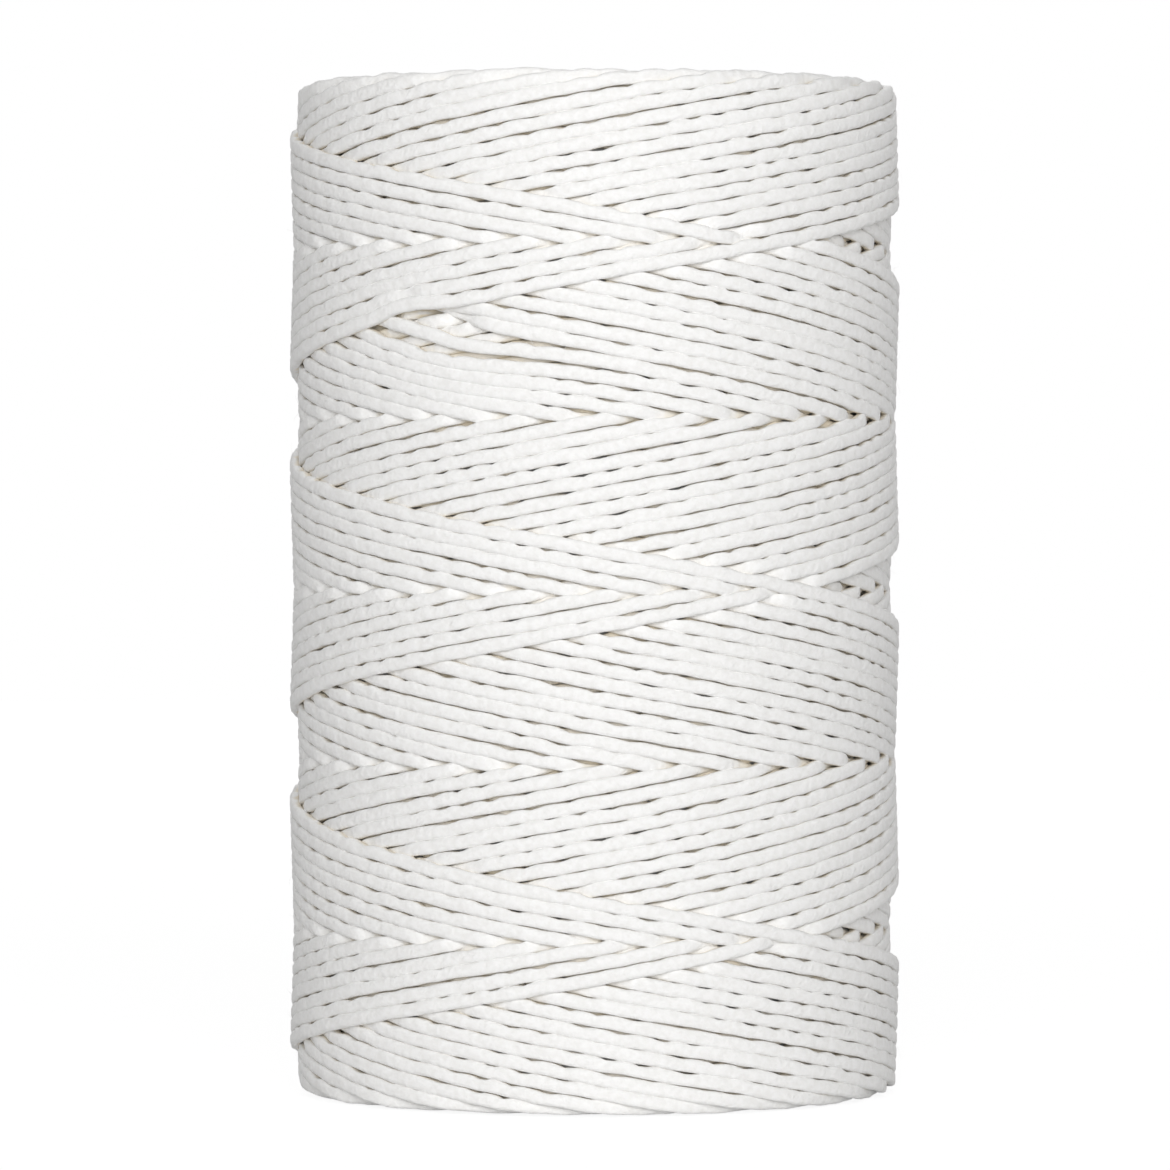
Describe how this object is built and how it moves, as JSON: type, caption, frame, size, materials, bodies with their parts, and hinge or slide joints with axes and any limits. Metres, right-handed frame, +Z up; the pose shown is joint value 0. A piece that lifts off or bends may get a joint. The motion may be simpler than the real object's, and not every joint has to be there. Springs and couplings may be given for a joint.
{
  "type": "waxed thread spool",
  "caption": "Flangeless spool of white waxed sewing thread, cross-wound end to end on a paperboard tube, that stands on its end or turns on a spindle through its bore.",
  "frame": {"origin": "middle of the bottom face, on the tube's axis", "axes": "+Z up along the tube's axis, -Y towards the viewer of the picture, +X to the viewer's right"},
  "size_m": [0.0448, 0.0448, 0.074],
  "materials": {
    "thread": "matte",
    "tube_paper": "matte",
    "tube_board": "matte"
  },
  "bodies": {
    "root": {"tube_liner_ply": "tube_paper", "tube_inner_board_ply": "tube_board", "tube_outer_board_ply": "tube_board", "tube_cover_ply": "tube_paper", "thread_start_tail": "thread", "inner_winding": "thread", "outer_winding": "thread", "thread_free_end": "thread"}
  },
  "joints": []
}
